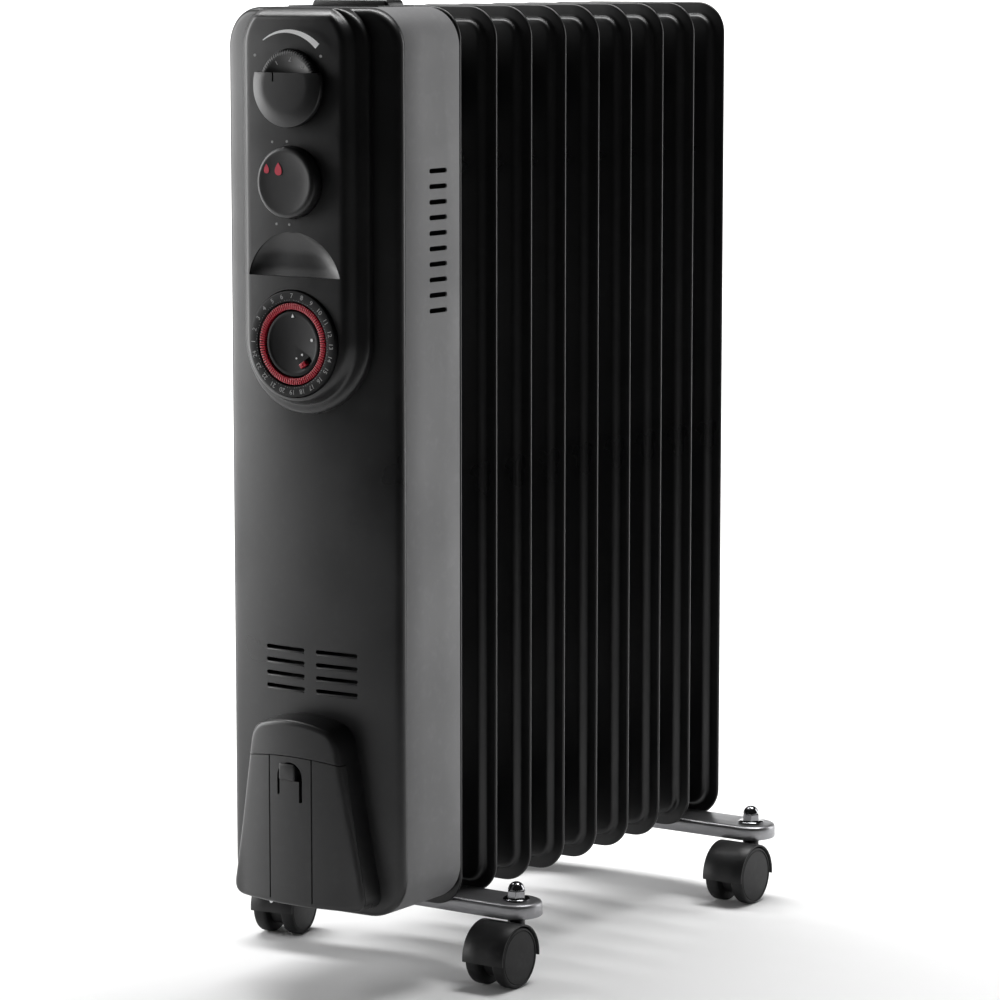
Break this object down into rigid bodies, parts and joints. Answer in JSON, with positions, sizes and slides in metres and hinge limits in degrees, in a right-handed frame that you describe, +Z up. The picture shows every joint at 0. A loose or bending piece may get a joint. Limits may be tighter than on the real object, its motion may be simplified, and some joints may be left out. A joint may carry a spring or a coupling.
{
  "type": "oil filled radiator heater",
  "caption": "Freestanding oil filled radiator with pressed fins, a control housing with dial, selector and timer, a cord store and castored feet.",
  "frame": {"origin": "floor level under the middle of the bounding box", "axes": "+Z up, +X to the right of the control panel seen from behind the heater's front, -Y out of the control panel"},
  "size_m": [0.2473, 0.435, 0.6325],
  "materials": {
    "fin_steel": "satin black enamel",
    "sleeve_steel": "satin graphite enamel",
    "plate_steel": "satin enamel",
    "housing_plastic": "fine textured",
    "control_plastic": "semi gloss",
    "red_plastic": "semi gloss",
    "switch_plastic": "matt",
    "wire_insulation": "matt",
    "gland_rubber": "matt",
    "flange_brass": "turned",
    "element_steel": "drawn",
    "bracket_steel": "pressed and plated",
    "nut_chrome": "polished",
    "zinc_steel": "zinc plated",
    "castor_plastic": "fine textured",
    "wheel_plastic": "matt nylon"
  },
  "bodies": {
    "heater": {"fin_1": "fin_steel", "fin_2": "fin_steel", "fin_3": "fin_steel", "fin_4": "fin_steel", "fin_5": "fin_steel", "fin_6": "fin_steel", "fin_7": "fin_steel", "fin_8": "fin_steel", "fin_9": "fin_steel", "header_rings": "fin_steel", "oil_filler_plug": "zinc_steel", "heating_element": "element_steel", "element_flange": "flange_brass", "rear_plate": "plate_steel", "sleeve": "sleeve_steel", "front_shell": "housing_plastic", "control_panel": "housing_plastic", "dial_cover": "housing_plastic", "thermostat": "switch_plastic", "selector_switch": "switch_plastic", "timer_centre": "control_plastic", "timer_motor": "switch_plastic", "thermal_cutout": "switch_plastic", "tip_over_switch": "switch_plastic", "terminal_block": "switch_plastic", "wiring": "wire_insulation", "cord_gland": "gland_rubber", "cord_bin": "housing_plastic", "handle_tray": "housing_plastic", "carry_handle": "housing_plastic", "foot_brackets": "bracket_steel", "u_bolts": "zinc_steel", "wing_nuts": "zinc_steel", "housing_screws": "zinc_steel", "castor_stems": "zinc_steel", "dome_nuts": "nut_chrome"},
    "dial": {"thermostat_dial": "control_plastic"},
    "selector": {"selector_knob": "control_plastic"},
    "timer_ring": {"timer_dial": "control_plastic", "timer_tappets": "red_plastic"},
    "override_slider": {"timer_override": "red_plastic"},
    "pinion": {"timer_pinion": "switch_plastic"},
    "store_door": {"cord_door": "housing_plastic"},
    "latch": {"door_latch": "housing_plastic"},
    "castor_front_right": {"hood_front_right": "castor_plastic", "axle_front_right": "zinc_steel"},
    "roll_front_right_outer": {"wheel_fr_outer": "wheel_plastic"},
    "roll_front_right_inner": {"wheel_fr_inner": "wheel_plastic"},
    "castor_front_left": {"hood_front_left": "castor_plastic", "axle_front_left": "zinc_steel"},
    "roll_front_left_outer": {"wheel_fl_outer": "wheel_plastic"},
    "roll_front_left_inner": {"wheel_fl_inner": "wheel_plastic"},
    "castor_rear_right": {"hood_rear_right": "castor_plastic", "axle_rear_right": "zinc_steel"},
    "roll_rear_right_outer": {"wheel_rr_outer": "wheel_plastic"},
    "roll_rear_right_inner": {"wheel_rr_inner": "wheel_plastic"},
    "castor_rear_left": {"hood_rear_left": "castor_plastic", "axle_rear_left": "zinc_steel"},
    "roll_rear_left_outer": {"wheel_rl_outer": "wheel_plastic"},
    "roll_rear_left_inner": {"wheel_rl_inner": "wheel_plastic"}
  },
  "joints": [
    {"name": "thermostat_turn", "type": "hinge", "parent": "heater", "child": "dial", "pos_m": [0, -0.2115, 0.58], "axis": [0, 1, 0], "range_deg": [0, 270]},
    {"name": "selector_turn", "type": "hinge", "parent": "heater", "child": "selector", "pos_m": [0, -0.2115, 0.52], "axis": [0, 1, 0], "range_deg": [0, 270]},
    {"name": "timer_turn", "type": "hinge", "parent": "heater", "child": "timer_ring", "pos_m": [0, -0.2075, 0.419], "axis": [0, 1, 0], "continuous": true},
    {"name": "override_slide", "type": "slide", "parent": "heater", "child": "override_slider", "axis": [0.8329, 0, 0.5534], "range_m": [0, 0.0036]},
    {"name": "pinion_turn", "type": "hinge", "parent": "heater", "child": "pinion", "pos_m": [0, -0.2005, 0.44935], "axis": [0, 1, 0], "continuous": true},
    {"name": "store_door_hinge", "type": "hinge", "parent": "heater", "child": "store_door", "pos_m": [0, -0.206, 0.0645], "axis": [1, 0, 0], "range_deg": [0, 88]},
    {"name": "latch_flex", "type": "hinge", "parent": "store_door", "child": "latch", "pos_m": [0, -0.2108, 0.1284], "axis": [1, 0, 0], "range_deg": [-7, 0], "stiffness_Nm_per_rad": 1},
    {"name": "swivel_front_right", "type": "hinge", "parent": "heater", "child": "castor_front_right", "pos_m": [0.094, -0.09825, 0.035], "axis": [0, 0, 1], "continuous": true},
    {"name": "roll_front_right_outer", "type": "hinge", "parent": "castor_front_right", "child": "roll_front_right_outer", "pos_m": [0.094, -0.11625, 0.02], "axis": [1, 0, 0], "continuous": true},
    {"name": "roll_front_right_inner", "type": "hinge", "parent": "castor_front_right", "child": "roll_front_right_inner", "pos_m": [0.094, -0.11625, 0.02], "axis": [1, 0, 0], "continuous": true},
    {"name": "swivel_front_left", "type": "hinge", "parent": "heater", "child": "castor_front_left", "pos_m": [-0.104, -0.09825, 0.035], "axis": [0, 0, 1], "continuous": true},
    {"name": "roll_front_left_outer", "type": "hinge", "parent": "castor_front_left", "child": "roll_front_left_outer", "pos_m": [-0.10713, -0.08052, 0.02], "axis": [-0.9848, -0.1736, 0], "continuous": true},
    {"name": "roll_front_left_inner", "type": "hinge", "parent": "castor_front_left", "child": "roll_front_left_inner", "pos_m": [-0.10713, -0.08052, 0.02], "axis": [-0.9848, -0.1736, 0], "continuous": true},
    {"name": "swivel_rear_right", "type": "hinge", "parent": "heater", "child": "castor_rear_right", "pos_m": [0.104, 0.18525, 0.035], "axis": [0, 0, 1], "continuous": true},
    {"name": "roll_rear_right_outer", "type": "hinge", "parent": "castor_rear_right", "child": "roll_rear_right_outer", "pos_m": [0.104, 0.16725, 0.02], "axis": [1, 0, 0], "continuous": true},
    {"name": "roll_rear_right_inner", "type": "hinge", "parent": "castor_rear_right", "child": "roll_rear_right_inner", "pos_m": [0.104, 0.16725, 0.02], "axis": [1, 0, 0], "continuous": true},
    {"name": "swivel_rear_left", "type": "hinge", "parent": "heater", "child": "castor_rear_left", "pos_m": [-0.094, 0.18525, 0.035], "axis": [0, 0, 1], "continuous": true},
    {"name": "roll_rear_left_outer", "type": "hinge", "parent": "castor_rear_left", "child": "roll_rear_left_outer", "pos_m": [-0.094, 0.16725, 0.02], "axis": [1, 0, 0], "continuous": true},
    {"name": "roll_rear_left_inner", "type": "hinge", "parent": "castor_rear_left", "child": "roll_rear_left_inner", "pos_m": [-0.094, 0.16725, 0.02], "axis": [1, 0, 0], "continuous": true}
  ],
  "couplings": [
    {"joint": "pinion_turn", "follows": "timer_turn", "ratio": -4}
  ]
}
